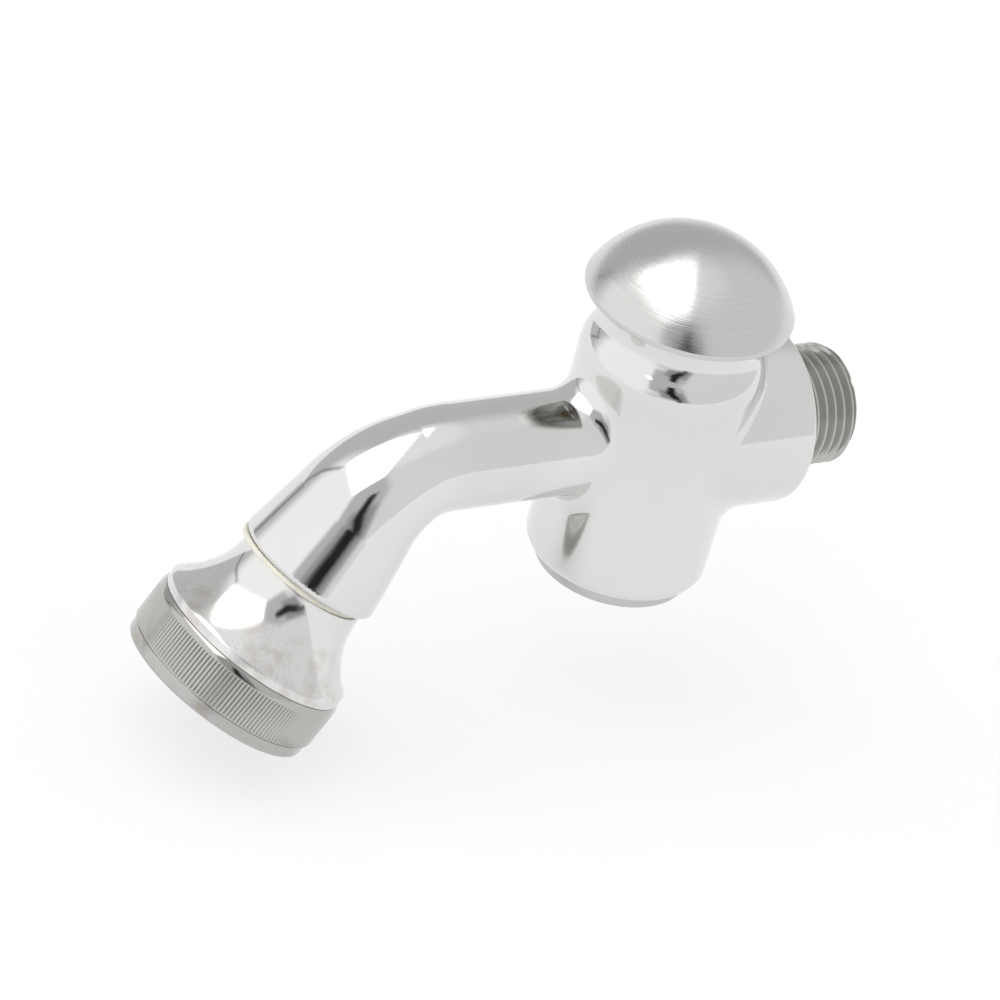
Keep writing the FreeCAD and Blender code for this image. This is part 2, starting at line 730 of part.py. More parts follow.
# ---------------------------------------------------------------- stem, guide bush and button
def make_stem_pieces():
    turned("valve_stem", [
        ("", ""),
        ("stem_tail_radius", ""),
        ("stem_tail_radius", "stem_tail_below + stem_tail_above"),
        ("stem_neck_radius", "stem_tail_below + stem_tail_above"),
        ("stem_neck_radius", "stem_tail_below + stem_neck_above"),
        ("stem_radius", "stem_tail_below + stem_neck_above"),
        ("stem_radius", "stem_tail_below + stem_shaft_above"),
        ("stem_head_radius", "stem_tail_below + stem_shaft_above"),
        ("stem_head_radius", "stem_tail_below + stem_head_above"),
        ("", "stem_tail_below + stem_head_above"),
    ], on_valve(-size("stem_tail_below")))
    bore = "stem_radius + stem_running_fit"
    top = "barrel_above + bush_washer_height - upper_chamber_top"
    outline = [(bore, ""), ("bush_bore_radius - thread_fit", ""), ("bush_bore_radius - thread_fit", top),
               (bore, top)]
    for level in ("o_ring_upper", "o_ring_lower"):
        low = f"{level} - upper_chamber_top"
        high = f"{low} + o_ring_groove_width"
        outline += [(bore, high), ("o_ring_groove_radius", high), ("o_ring_groove_radius", low), (bore, low)]
    shank = turned("bush_shank", outline, on_valve(size("upper_chamber_top")), is_node=False)
    head_place = on_valve(size("barrel_above + bush_washer_height"))
    hexagon = doc.addObject("Part::Prism", "bush_hexagon")
    hexagon.Polygon = 6
    hexagon.setExpression("Circumradius", "Sizes.bush_flats / 2 / cos(30)")
    hexagon.setExpression("Height", bound("bush_head_height"))
    hexagon.Placement = head_place
    head = cut("bush_head", hexagon, cylinder("bush_head_bore", bore, "bush_head_height", head_place))
    doc.recompute()
    node(joined("guide_bush", [shank, head]), "guide_bush")
    turned("bush_washer", [
        ("bush_bore_radius", ""),
        ("bush_washer_outer", ""),
        ("bush_washer_outer", "bush_washer_height"),
        ("bush_bore_radius", "bush_washer_height"),
    ], on_valve(size("barrel_above")))
    for label, level in (("stem_o_ring_lower", "o_ring_lower"), ("stem_o_ring_upper", "o_ring_upper")):
        ring = doc.addObject("Part::Torus", label)
        ring.setExpression("Radius1", bound("o_ring_middle_radius"))
        ring.setExpression("Radius2", bound("o_ring_wire_radius"))
        ring.Placement = on_valve(size(level) + size("o_ring_groove_width") / 2)
        node(ring, label)


def make_button():
    """The hollow mushroom cap with its threaded hub, and the nut that locks it to the stem."""
    turned("button_cap", [
        ("stem_head_radius + thread_fit", "button_hub_above - button_rim_above"),
        ("button_hub_radius", "button_hub_above - button_rim_above"),
        ("button_hub_radius", "button_rise - button_wall", CENTRED, -1),
        ("button_inner_radius", "button_inner_step"),
        ("button_inner_radius", ""),
        ("button_radius", ""),
        ("button_radius", "button_band", CENTRED, 1),
        ("", "button_rise"),
        ("", "button_socket_top - button_rim_above"),
        ("stem_head_radius + thread_fit", "button_socket_top - button_rim_above"),
    ], on_valve(size("button_rim_above")))
    hex_nut("button_lock_nut", "lock_nut_flats", "lock_nut_height", "stem_head_radius + thread_fit",
            on_valve(size("button_hub_above - lock_nut_height")))


# ---------------------------------------------------------------- spray head
def make_spray_head():
    """Nylon washer, flared bell, diffuser, gasket, rose and the knurled ring that holds it."""
    tilt = math.radians(size("bend_angle"))
    raised = size("head_washer_raised")
    side_shift = Vector(-size("head_washer_aside"), -raised * math.sin(tilt), raised * math.cos(tilt))
    turned("head_washer", [
        ("head_washer_inner", ""),
        ("head_washer_outer", ""),
        ("head_washer_outer", "head_washer_height"),
        ("head_washer_inner", "head_washer_height"),
    ], on_outlet(0, side_shift))
    bell = turned("spray_bell", [
        ("head_stub_bore", ""),
        ("head_stub_radius", ""),
        ("head_stub_radius", "head_stub_length + head_washer_height"),
        ("bell_top_radius", "head_stub_length + head_washer_height", "bell_flare_radius", -1),
        ("bell_flare_end_radius", "head_stub_length + bell_flare_end"),
        ("bell_shoulder_radius", "head_stub_length + bell_shoulder_start"),
        ("bell_shoulder_radius", "head_stub_length + bell_shoulder_end"),
        ("bell_thread_radius", "head_stub_length + bell_shoulder_end"),
        ("bell_thread_radius", "head_stub_length + bell_thread_end"),
        ("bell_step_radius", "head_stub_length + bell_thread_end"),
        ("bell_step_radius", "head_stub_length + bell_inner_step"),
        ("bell_inner_radius", "head_stub_length + bell_inner_step"),
        ("bell_inner_radius", "head_stub_length + bell_inner_start"),
        ("head_stub_bore", "head_stub_length + bell_bore_end"),
    ], on_outlet(-size("head_stub_length")))
    diffuser = turned("diffuser_disc", [
        ("", ""),
        ("diffuser_radius", ""),
        ("diffuser_radius", "diffuser_height"),
        ("", "diffuser_height"),
    ], on_outlet(size("bell_inner_step")))
    hole_rings(diffuser, "diffuser", with_centre=False)
    turned("rose_gasket", [
        ("gasket_inner", ""),
        ("rose_radius", ""),
        ("rose_radius", "gasket_height"),
        ("gasket_inner", "gasket_height"),
    ], on_outlet(size("bell_thread_end")))
    edge_start = "bell_thread_end + gasket_height"
    rose = turned("spray_rose", [
        ("", ""),
        ("rose_radius", ""),
        ("rose_radius", "rose_edge_height"),
        ("rose_face_radius", "rose_edge_height"),
        ("rose_face_radius", "rose_edge_height + rose_edge_height", CENTRED, 1),
        ("", f"rose_crown - {edge_start.replace('+', '-')}"),
    ], on_outlet(size(edge_start)))
    hole_rings(rose, "rose")


def make_knurled_ring():
    base = "- bell_shoulder_end"
    blank = turned("ring_blank", [
        ("ring_bore_radius", ""),
        ("ring_top_radius", ""),
        ("ring_radius", f"ring_bevel_end {base}"),
        ("ring_radius", f"knurl_end {base}"),
        ("ring_groove_radius", f"knurl_end {base}"),
        ("ring_groove_radius", f"ring_groove_end {base}"),
        ("ring_rim_radius", f"ring_groove_end {base}"),
        ("ring_rim_radius", f"ring_end {base}"),
        ("ring_lip_radius", f"ring_end {base}"),
        ("ring_lip_radius", f"ring_lip_start {base}"),
        ("ring_bore_radius", f"ring_lip_start {base}"),
    ], on_outlet(size("bell_shoulder_end")), is_node=False)
    round_circles(blank, "ring_edge_round", [("ring_rim_radius", f"ring_end {base}")])
    ribs = int(size("knurl_ribs"))
    outer, root = size("ring_radius + tool_overlap"), size("ring_radius - knurl_depth")
    teeth = doc.addObject("Part::Feature", "knurl_grooves")
    start, end = size(f"knurl_start {base}"), size(f"knurl_end {base}")
    half = math.pi / ribs * size("knurl_groove_share")
    grooves = []
    for rib in range(ribs):
        angle = 2 * math.pi * rib / ribs
        corners = [
            Vector(outer * math.cos(angle - half), outer * math.sin(angle - half), start),
            Vector(root * math.cos(angle), root * math.sin(angle), start),
            Vector(outer * math.cos(angle + half), outer * math.sin(angle + half), start),
        ]
        face = Part.Face(Part.makePolygon(corners + corners[:1]))
        grooves.append(face.extrude(Vector(0, 0, end - start + size("tool_overlap"))))
    teeth.Shape = Part.makeCompound(grooves)
    teeth.Placement = on_outlet(size("bell_shoulder_end"))
    doc.recompute()
    node(cut("knurled_ring", blank, teeth), "knurled_ring")


# ---------------------------------------------------------------- inlet strainer
def make_strainer():
    seat = size("inlet_thread_length - strainer_seat_depth")
    strainer = turned("inlet_strainer", [
        ("", ""),
        ("strainer_radius", ""),
        ("strainer_radius", "strainer_height"),
        ("", "strainer_height"),
    ], on_inlet(seat))
    hole_rings(strainer, "strainer")
    turned("strainer_ring", [
        ("strainer_ring_inner", ""),
        ("strainer_radius", ""),
        ("strainer_radius", "strainer_ring_height"),
        ("strainer_ring_inner", "strainer_ring_height"),
    ], on_inlet(seat + size("strainer_height")))


make_tap_body()
make_bottom_pieces()
make_valve_pieces()
make_stem_pieces()
make_button()
make_spray_head()
make_knurled_ring()
make_strainer()
doc.recompute()

for item in doc.Objects:
    if "Invalid" in item.State or "Error" in item.State:
        raise RuntimeError(f"{item.Label} did not compute: {item.State}")

os.makedirs("parts", exist_ok=True)
for label in node_names:
    shape = doc.getObjectsByLabel(label)[0].Shape
    if shape.isNull() or not shape.isValid() or not shape.Solids:
        raise RuntimeError(f"{label} has no valid solid")
    shape.exportStep(f"parts/{label}.step")
    box = shape.BoundBox
    print(f"{label:20s} {len(shape.Solids)} solid, {shape.Volume:9.1f} mm3, "
          f"Z {box.ZMin:.2f} to {box.ZMax:.2f}, Y {box.YMin:.2f} to {box.YMax:.2f}")
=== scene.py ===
"""Looks for the self-closing push-button bib tap: chromed brass, a brushed push button and a
flared spray head with a knurled ring, in a white studio.

Lengths below are in millimetres, and every object is made in metres. Levels count from the
inlet axis, reaches count along the inlet axis from the valve axis, and steps of the spray
head count along the outlet axis from the spout's end.
"""

import bmesh
import bpy
import math
import numpy as np
from mathutils import Matrix, Vector
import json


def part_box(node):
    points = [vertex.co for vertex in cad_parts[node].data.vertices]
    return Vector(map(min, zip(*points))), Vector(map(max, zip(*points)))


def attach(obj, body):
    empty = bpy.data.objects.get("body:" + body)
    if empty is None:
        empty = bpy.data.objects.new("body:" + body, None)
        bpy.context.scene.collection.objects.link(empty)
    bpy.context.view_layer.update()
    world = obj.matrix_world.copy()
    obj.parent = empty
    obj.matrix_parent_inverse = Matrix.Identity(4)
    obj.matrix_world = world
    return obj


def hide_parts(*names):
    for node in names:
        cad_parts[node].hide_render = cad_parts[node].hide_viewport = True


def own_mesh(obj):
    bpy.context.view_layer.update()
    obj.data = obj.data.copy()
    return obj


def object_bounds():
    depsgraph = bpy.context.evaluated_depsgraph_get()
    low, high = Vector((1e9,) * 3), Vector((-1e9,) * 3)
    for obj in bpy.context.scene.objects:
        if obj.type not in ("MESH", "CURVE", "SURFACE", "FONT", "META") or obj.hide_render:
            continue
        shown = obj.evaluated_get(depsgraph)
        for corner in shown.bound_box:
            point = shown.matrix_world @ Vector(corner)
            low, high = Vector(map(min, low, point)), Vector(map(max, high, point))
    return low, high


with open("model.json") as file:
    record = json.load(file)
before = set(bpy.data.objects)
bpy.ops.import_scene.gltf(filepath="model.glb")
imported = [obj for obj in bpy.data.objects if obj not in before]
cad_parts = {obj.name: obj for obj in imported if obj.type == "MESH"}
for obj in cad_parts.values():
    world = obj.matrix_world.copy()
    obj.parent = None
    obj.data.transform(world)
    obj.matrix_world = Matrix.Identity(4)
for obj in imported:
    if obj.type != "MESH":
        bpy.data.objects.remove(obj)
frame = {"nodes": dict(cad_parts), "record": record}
packed_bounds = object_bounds()

MM = 0.001
CASTING_GRID, CASTING_EDGE, CASTING_PASSES = 0.45, 1.0, 3
TINY = 1e-9
LEAN_REACH = 0.05
STUB_BASE = -0.5

# ---------------------------------------------------------------- sizes that the frame gives
button_low, button_high = (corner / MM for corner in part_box("button_cap"))
VALVE_Y = (button_low.y + button_high.y) / 2
PLUG_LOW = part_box("bottom_plug")[0].z / MM
INLET_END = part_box("tap_body")[1].y / MM

# body
BARREL_RADIUS = 15.95
BARREL_BOTTOM = -26.5
BOTTOM_ROUND = 2.0
SHOULDER_START, SHOULDER_END, SHOULDER_ROUND = 13.5, 22.0, 6.75
NECK_RADIUS, NECK_TOP = 12.938, 23.6
BOSS_RADIUS, BOSS_ROUND, BOSS_BLEND = 15.85, 0.9, 4.0
SPOUT_RADIUS, SPOUT_DROP, SPOUT_BLEND = 9.12, 0.9, 5.0
SPOUT_RUN, SPOUT_LEG = 51.0, 23.25
BEND_RADIUS, BEND_ANGLE = 18.0, math.radians(60.9)
TAPER_START, SPOUT_END_RADIUS, SPOUT_END_ROUND = 5.5, 13.05, 1.2

# waterways in the body
LOWER_CHAMBER_RADIUS, LOWER_CHAMBER_TOP = 10.5, -9.5
PLUG_BORE_RADIUS, PLUG_BORE_TOP = 11.5, -20.0
UPPER_CHAMBER_RADIUS, UPPER_CHAMBER_FLOOR, UPPER_CHAMBER_TOP = 8.5, -5.0, 12.5
WEB_BORE_RADIUS, BUSH_BORE_RADIUS = 6.5, 7.5
NECK_BORE_RADIUS, NECK_FLOOR = 11.0, 19.0
INLET_BORE_RADIUS, INLET_BORE_START = 7.0, -12.5
SPOUT_BORE_RADIUS, HEAD_SOCKET_RADIUS, HEAD_SOCKET_DEPTH = 6.0, 8.4, 9.5
PORT_RADIUS, PORT_START, PORT_END = 3.5, (17.0, -3.0), (8.0, -16.2)

# inlet thread
THREAD_RADIUS, THREAD_DEPTH, THREAD_PITCH = 10.4775, 1.162, 1.814
THREAD_MOUTH, THREAD_ROOT = 0.84, 0.16
THREAD_RELIEF, THREAD_RELIEF_EXTRA, THREAD_CHAMFER = 1.3, 0.15, 0.9
STRAINER_SEAT_RADIUS, STRAINER_SEAT_DEPTH = 8.0, 2.6

# button
BUTTON_RADIUS, BUTTON_BAND, BUTTON_WALL = 18.0, 0.9, 2.4
BUTTON_INNER_RADIUS, BUTTON_INNER_STEP = 16.5, 0.6
HUB_RADIUS, HUB_LEVEL, HUB_BORE_RADIUS, HUB_BORE_TOP = 5.5, 30.3, 2.55, 35.3

# bottom plug
PLUG_FLANGE_RADIUS, PLUG_FLANGE_HEIGHT, PLUG_EDGE_ROUND = 13.75, 2.4, 0.5
PLUG_THREAD_RADIUS, PLUG_THREAD_LENGTH, PLUG_CUP_RADIUS, PLUG_FLOOR = 11.45, 6.5, 8.6, 1.5

# spray head
WASHER_OUTER, WASHER_INNER, WASHER_HEIGHT = 12.05, 9.4, 0.9
BELL_STUB_RADIUS, BELL_STUB_LENGTH, BELL_STUB_BORE, BELL_BORE_END = 8.33, 8.0, 5.5, 3.0
BELL_TOP_RADIUS, BELL_FLARE = 11.65, 16.0
BELL_FLARE_END, BELL_FLARE_END_RADIUS = 13.45, 17.55
BELL_SHOULDER_RADIUS, BELL_SHOULDER_START, BELL_SHOULDER_END = 17.75, 13.8, 15.3
BELL_THREAD_RADIUS, BELL_THREAD_END = 16.2, 20.8
BELL_INNER_RADIUS, BELL_INNER_START = 13.0, 13.0
BELL_STEP_RADIUS, BELL_STEP = 14.4, 15.5
RING_TOP_RADIUS, RING_RADIUS, RING_BEVEL_END = 17.8, 18.2, 16.3
RING_BORE_RADIUS, RING_LIP_START, RING_LIP_RADIUS = 16.25, 23.0, 14.7
RING_END, RING_RIM_RADIUS, RING_EDGE_ROUND = 25.9, 17.75, 0.5
RING_GROOVE_END, RING_GROOVE_RADIUS = 23.6, 17.6
KNURL_START, KNURL_END, KNURL_DEPTH, KNURL_RIBS, KNURL_RUN_OUT = 16.6, 23.2, 0.45, 165, 0.25
KNURL_STEPS = 4

# return spring
SPRING_RADIUS, SPRING_WIRE, SPRING_TURNS = 5.6, 0.6, 5

# outlet axis: a point and a direction on it, from the body's bend
OUTLET_DIRECTION = Vector((0, -math.cos(BEND_ANGLE), -math.sin(BEND_ANGLE)))
OUTLET_START = Vector((0, VALVE_Y - SPOUT_RUN, -SPOUT_DROP)) + OUTLET_DIRECTION * SPOUT_LEG


# ---------------------------------------------------------------- places
def axis_place(point, turn):
    """The matrix that puts a turned piece's Z axis at a point in mm, turned about X."""
    return Matrix.Translation(Vector(point) * MM) @ Matrix.Rotation(turn, 4, "X") @ Matrix.Scale(MM, 4)


ON_VALVE = axis_place((0, VALVE_Y, 0), 0)
ON_INLET = axis_place((0, 0, 0), -math.pi / 2)
ON_OUTLET = axis_place(OUTLET_START, math.pi / 2 + BEND_ANGLE)


# ---------------------------------------------------------------- mesh helpers
def linked(name, mesh, sharp_degrees):
    """A smooth-shaded object of this mesh, whose edges stay sharp beyond the angle."""
    mesh.shade_smooth()
    if sharp_degrees:
        mesh.set_sharp_from_angle(angle=math.radians(sharp_degrees))
    piece = bpy.data.objects.new(name, mesh)
    bpy.context.scene.collection.objects.link(piece)
    return piece


def add_mesh(name, points, faces, sharp_degrees=30):
    mesh = bpy.data.meshes.new(name)
    mesh.from_pydata([tuple(p) for p in points], [], [tuple(f) for f in faces])
    mesh.validate()
    mesh.update()
    return linked(name, mesh, sharp_degrees)


def finished(name, work, sharp_degrees=30):
    """The object of a bmesh, with its faces turned outward."""
    bmesh.ops.recalc_face_normals(work, faces=work.faces)
    mesh = bpy.data.meshes.new(name)
    work.to_mesh(mesh)
    work.free()
    return linked(name, mesh, sharp_degrees)


def circle_point(radius, turn, height):
    """A point at a share of a turn round the Z axis."""
    angle = 2 * math.pi * turn
    return Vector((radius * math.cos(angle), radius * math.sin(angle), height))


def rounded(corners, most=8):
    """An open outline of (radius, height) points from (radius, height[, round]) corners."""
    points = [Vector(c[:2]) for c in corners]
    outline = []
    for number, corner in enumerate(corners):
        here = points[number]
        if len(corner) < 3 or number in (0, len(corners) - 1):
            outline.append(here)
            continue
        before, after = (points[number - 1] - here), (points[number + 1] - here)
        half = before.angle(after) / 2
        reach = corner[2] / math.tan(half)
        start, end = here + before.normalized() * reach, here + after.normalized() * reach
        inward = (before.normalized() + after.normalized()).normalized()
        centre = here + inward * (corner[2] / math.sin(half))
        for step in range(most + 1):
            spoke = (start - centre).lerp(end - centre, step / most).normalized()
            outline.append(centre + spoke * corner[2])
    return outline


def arc_points(start, end, radius, side, steps):
    """Points of the arc from start to end, which bulges to the right of the way if side is 1."""
    start, end = Vector(start), Vector(end)
    way = end - start
    across = Vector((way.y, -way.x)).normalized() * side
    centre = (start + end) / 2 - across * math.sqrt(radius**2 - (way.length / 2) ** 2)
    first = math.atan2(*(start - centre).yx)
    turn = (start - centre).angle(end - centre)
    sense = -1 if (start - centre).cross(end - centre) < 0 else 1
    angles = [first + sense * turn * step / steps for step in range(steps + 1)]
    return [centre + Vector((math.cos(a), math.sin(a))) * radius for a in angles]


def crown_points(start, top, steps=48):
    """Points of a sphere about the turning axis, from (radius, height) up to its top."""
    radius, height = start
    rise = top - height
    sphere = (radius**2 + rise**2) / (2 * rise)
    whole = math.asin(radius / sphere)
    angles = [whole * (1 - step / steps) for step in range(steps + 1)]
    return [(sphere * math.sin(a), top - sphere * (1 - math.cos(a))) for a in angles]


def turned(name, outline, place, segments=256, sharp_degrees=35, shaped=None):
    """A closed turned piece. The outline runs (radius, height) round the section, and its
    ends are joined, except where both lie on the axis. shaped(radius, height, segment) may
    change the radius, as for a knurl."""
    hub = 1e-6
    points, rings = [], []
    for radius, height in outline:
        if radius < hub:
            rings.append([len(points)])
            points.append(Vector((0, 0, height)))
            continue
        rings.append(range(len(points), len(points) + segments))
        for number in range(segments):
            angle = 2 * math.pi * number / segments
            reach = shaped(radius, height, number) if shaped else radius
            points.append(Vector((reach * math.cos(angle), reach * math.sin(angle), height)))
    pairs = list(zip(rings, rings[1:]))
    if len(rings[0]) > 1 and len(rings[-1]) > 1:
        pairs.append((rings[-1], rings[0]))
    faces = []
    for low, high in pairs:
        for number in range(segments):
            following = (number + 1) % segments
            corners = [low[number % len(low)], low[following % len(low)],
                       high[following % len(high)], high[number % len(high)]]
            faces.append(list(dict.fromkeys(corners)))
    return add_mesh(name, [place @ p for p in points], [f for f in faces if len(f) > 2], sharp_degrees)


# ---------------------------------------------------------------- body casting as one field
def shoulder_radius(level):
    """Radius of the barrel's outside at each level: straight, an S-shaped shoulder, the neck."""
    half = (SHOULDER_END - SHOULDER_START) / 2
    low = np.clip(level - SHOULDER_START, 0, half)
    high = np.clip(SHOULDER_END - level, 0, half)
    upper = BARREL_RADIUS - SHOULDER_ROUND + np.sqrt(SHOULDER_ROUND**2 - low**2)
    lower = NECK_RADIUS + SHOULDER_ROUND - np.sqrt(SHOULDER_ROUND**2 - high**2)
    return np.where(level < SHOULDER_START + half, upper, lower)


def rounded_end(side, end, edge):
    """Distance to a solid inside both fields, whose shared edge is rounded."""
    a, b = side + edge, end + edge
    return np.minimum(np.maximum(a, b), 0) + np.hypot(np.maximum(a, 0), np.maximum(b, 0)) - edge


def filleted(first, second, facing, radius):
    """Union of two fields with a rolling-ball fillet. facing is the cosine of the angle
    between their outward directions."""
    a, b = radius - first, radius - second
    facing = np.clip(facing, -0.999, 0.999)
    square = (a * a + b * b - 2 * facing * a * b) / (1 - facing**2)
    fillet = radius - np.sqrt(np.maximum(square, 0))
    inside = (a > facing * b) & (b > facing * a) & (a > 0) & (b > 0)
    return np.where(inside, fillet, np.minimum(first, second))


def spout_fields(x, y, z):
    """Distance from the spout's centreline, and how far along it, from the bend's start."""
    bend_start = VALVE_Y - SPOUT_RUN + BEND_RADIUS * math.tan(BEND_ANGLE / 2)
    ahead, below = bend_start - y, z + SPOUT_DROP
    turned_by = np.arctan2(ahead, below + BEND_RADIUS)
    in_bend = np.hypot(ahead, below + BEND_RADIUS) - BEND_RADIUS
    leg_y = VALVE_Y - SPOUT_RUN - y
    along_leg = leg_y * math.cos(BEND_ANGLE) - below * math.sin(BEND_ANGLE)
    off_leg = leg_y * math.sin(BEND_ANGLE) + below * math.cos(BEND_ANGLE)
    straight = BEND_RADIUS * math.tan(BEND_ANGLE / 2)
    after = along_leg > straight
    before = ahead < 0
    bend_length = BEND_RADIUS * BEND_ANGLE
    along = np.where(after, bend_length + along_leg - straight,
                     np.where(before, ahead, BEND_RADIUS * turned_by))
    off = np.where(after, off_leg, np.where(before, below, in_bend))
    return np.hypot(x, off), along, bend_length + SPOUT_LEG - straight


def casting_field(x, y, z):
    """Signed distance, near enough, to the body casting's outside, in mm."""
    reach = y - VALVE_Y
    out = np.hypot(x, reach) + TINY
    radius = shoulder_radius(z)
    lean = (shoulder_radius(z + LEAN_REACH) - shoulder_radius(z - LEAN_REACH)) / (2 * LEAN_REACH)
    flat = 1 / np.sqrt(1 + lean**2)
    barrel_side = (out - radius) * flat
    barrel = rounded_end(barrel_side, BARREL_BOTTOM - z, BOTTOM_ROUND)
    barrel = np.maximum(barrel, z - NECK_TOP)
    boss_out = np.hypot(x, z) + TINY
    boss_side = boss_out - BOSS_RADIUS
    boss = rounded_end(boss_side, y, BOSS_ROUND)
    boss = np.maximum(boss, VALVE_Y - y)
    facing = (x * x / out - lean * z) * flat / boss_out
    body = filleted(barrel, boss, facing, BOSS_BLEND)
    spout_out, along, length = spout_fields(x, y, z)
    widening = (SPOUT_END_RADIUS - SPOUT_RADIUS) / (length - TAPER_START)
    spout_side = spout_out - SPOUT_RADIUS - widening * np.maximum(along - TAPER_START, 0)
    spout = rounded_end(spout_side, along - length, SPOUT_END_ROUND)
    spout = np.maximum(spout, reach)
    facing = x * x / (out * (spout_out + TINY))
    return filleted(body, spout, facing, SPOUT_BLEND)


def port_field(x, y, z):
    """The slanting hole from the inlet down to the lower chamber."""
    start, end = np.array(PORT_START), np.array(PORT_END)
    length = np.linalg.norm(end - start)
    way = (end - start) / length
    forward, down = y - VALVE_Y - start[0], z - start[1]
    along = forward * way[0] + down * way[1]
    off = down * way[0] - forward * way[1]
    return np.maximum(np.hypot(x, off) - PORT_RADIUS, np.abs(along - length / 2) - length / 2)


def body_field(x, y, z):
    """The casting with its waterways taken out."""
    valve_out = np.hypot(x, y - VALVE_Y)
    inlet_out = np.hypot(x, z)
    spout_out, along, length = spout_fields(x, y, z)
    hollows = [
        np.maximum(valve_out - LOWER_CHAMBER_RADIUS, z - LOWER_CHAMBER_TOP),
        np.maximum(valve_out - PLUG_BORE_RADIUS, z - PLUG_BORE_TOP),
        np.maximum(valve_out - WEB_BORE_RADIUS, np.abs(z) - UPPER_CHAMBER_TOP),
        np.maximum(valve_out - UPPER_CHAMBER_RADIUS,
                   np.maximum(UPPER_CHAMBER_FLOOR - z, z - UPPER_CHAMBER_TOP)),
        np.maximum(valve_out - BUSH_BORE_RADIUS, -z),
        np.maximum(valve_out - NECK_BORE_RADIUS, NECK_FLOOR - z),
        np.maximum(inlet_out - INLET_BORE_RADIUS, INLET_BORE_START - y),
        np.maximum(spout_out - SPOUT_BORE_RADIUS, y - VALVE_Y),
        np.maximum(spout_out - HEAD_SOCKET_RADIUS, length - HEAD_SOCKET_DEPTH - along),
        port_field(x, y, z),
    ]
    return np.maximum(casting_field(x, y, z), -np.minimum.reduce(hollows))


def surface_net(field, low, high, step):
    """Points and quads of the surface where the field is zero: one point for each cell of a
    grid that the surface crosses, and one quad for each grid edge that it cuts."""
    axes = [np.arange(a, b + step, step) for a, b in zip(low, high)]
    values = field(*np.meshgrid(*axes, indexing="ij"))
    inside = values < 0
    corners = [np.array(c) for c in np.ndindex(2, 2, 2)]
    counts = sum(
        inside[tuple(slice(c, n - 1 + c) for c, n in zip(corner, inside.shape))].astype(int)
        for corner in corners
    )
    cells = np.argwhere((counts > 0) & (counts < 8))
    total = np.zeros(cells.shape)
    found = np.zeros(len(cells))
    for one in corners:
        for axis in range(3):
            if one[axis]:
                continue
            two = one + np.eye(3, dtype=int)[axis]
            start = values[tuple((cells + one).T)]
            end = values[tuple((cells + two).T)]
            crossed = (start < 0) != (end < 0)
            share = np.where(crossed, start / np.where(crossed, start - end, 1), 0)
            place = cells + one + share[:, None] * (two - one)
            total += np.where(crossed[:, None], place, 0)
            found += crossed
    points = np.array(low) + step * total / found[:, None]
    number = -np.ones(values.shape, dtype=int)
    number[tuple(cells.T)] = np.arange(len(cells))
    quads = []
    for axis in range(3):
        ahead = np.eye(3, dtype=int)[axis]
        left, up = np.eye(3, dtype=int)[(axis + 1) % 3], np.eye(3, dtype=int)[(axis + 2) % 3]
        last = [slice(1, n - 1) for n in inside.shape]
        here = inside[tuple(last)]
        there = inside[tuple(slice(s.start + a, s.stop + a) for s, a in zip(last, ahead))]
        cut = np.argwhere(here != there) + 1
        around = [number[tuple((cut - shift).T)] for shift in (0 * left, left, left + up, up)]
        quad = np.stack(around, axis=1)
        outward = inside[tuple(cut.T)]
        quads.append(np.where(outward[:, None], quad, quad[:, ::-1]))
    return points, np.concatenate(quads)


def slope(field, points, reach=0.01):
    """Direction in which the field grows, by differences along each axis."""
    parts = []
    for axis in np.eye(3) * reach:
        parts.append(field(*(points + axis).T) - field(*(points - axis).T))
    parts = np.stack(parts, axis=1)
    return parts / np.maximum(np.linalg.norm(parts, axis=1, keepdims=True), TINY)


# ---------------------------------------------------------------- pieces
def make_casting():
    """The body casting, without its thread, with normals from the field itself."""
    side = BARREL_RADIUS + CASTING_EDGE
    low = (-side, OUTLET_START.y - SPOUT_END_RADIUS, PLUG_LOW - CASTING_EDGE)
    high = (side, CASTING_EDGE, NECK_TOP + CASTING_EDGE)
    points, quads = surface_net(body_field, low, high, CASTING_GRID)
    for _ in range(CASTING_PASSES):
        points -= body_field(*points.T)[:, None] * slope(body_field, points)
    piece = add_mesh("tap_casting", points * MM, quads, sharp_degrees=None)
    outward = slope(body_field, points)
    piece.data.normals_split_custom_set_from_vertices([tuple(n) for n in outward])
    return piece


def thread_radius(turn, height):
    """Radius of the threaded stub at a share of a turn and a distance from the boss."""
    phase = (height - THREAD_RELIEF) / THREAD_PITCH - turn
    off = abs(phase - round(phase))
    flank = (off * 2 - THREAD_ROOT) / (THREAD_MOUTH - THREAD_ROOT)
    radius = THREAD_RADIUS - THREAD_DEPTH * (1 - min(max(flank, 0), 1))
    return min(radius, THREAD_RADIUS - THREAD_CHAMFER + INLET_END - height)


